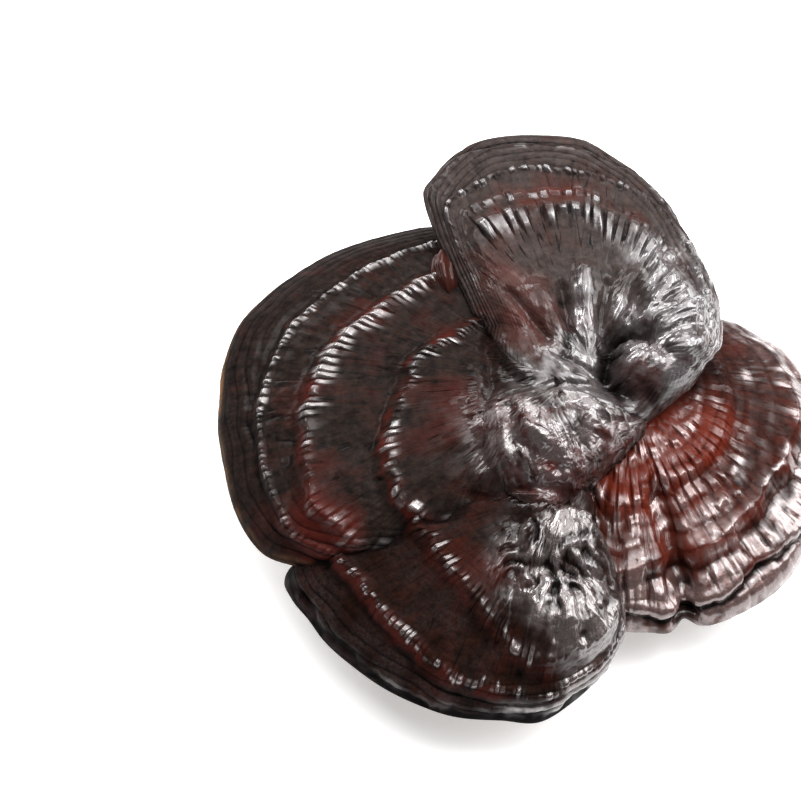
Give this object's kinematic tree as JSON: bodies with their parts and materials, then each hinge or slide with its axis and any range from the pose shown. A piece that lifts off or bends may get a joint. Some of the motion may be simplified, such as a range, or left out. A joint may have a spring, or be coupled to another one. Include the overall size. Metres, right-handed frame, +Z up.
{
  "type": "reishi mushroom cluster",
  "caption": "Reishi mushroom cluster: lacquered fan caps with ringed growth ledges, grown together from one short stem that is cut off flat and stands on its cut.",
  "frame": {"origin": "centre of the stem's flat cut, on the surface that the cluster stands on", "axes": "+Z up, away from the cut; +Y away from the viewer of the picture, towards the back cap; +X to the viewer's right, towards the right cap"},
  "size_m": [0.2129, 0.2148, 0.0741],
  "materials": {
    "stem_crust": "glossy lacquered crust, dark red-brown, with a pale fibrous cut face",
    "dark_crust": "lacquered crust, grey-brown to nearly black, glossy on the ledge crests",
    "brown_crust": "lacquered crust, dark brown with red streaks, glossy where crumpled",
    "grey_crust": "lacquered crust, grey-brown with a cool sheen, glossy in the folds",
    "red_crust": "lacquered crust, deep red, glossy between a matte pinkish brown rim"
  },
  "bodies": {
    "root": {"stem": "stem_crust", "cap_left": "dark_crust", "cap_front": "brown_crust", "cap_back": "grey_crust", "cap_right": "red_crust"}
  },
  "joints": []
}
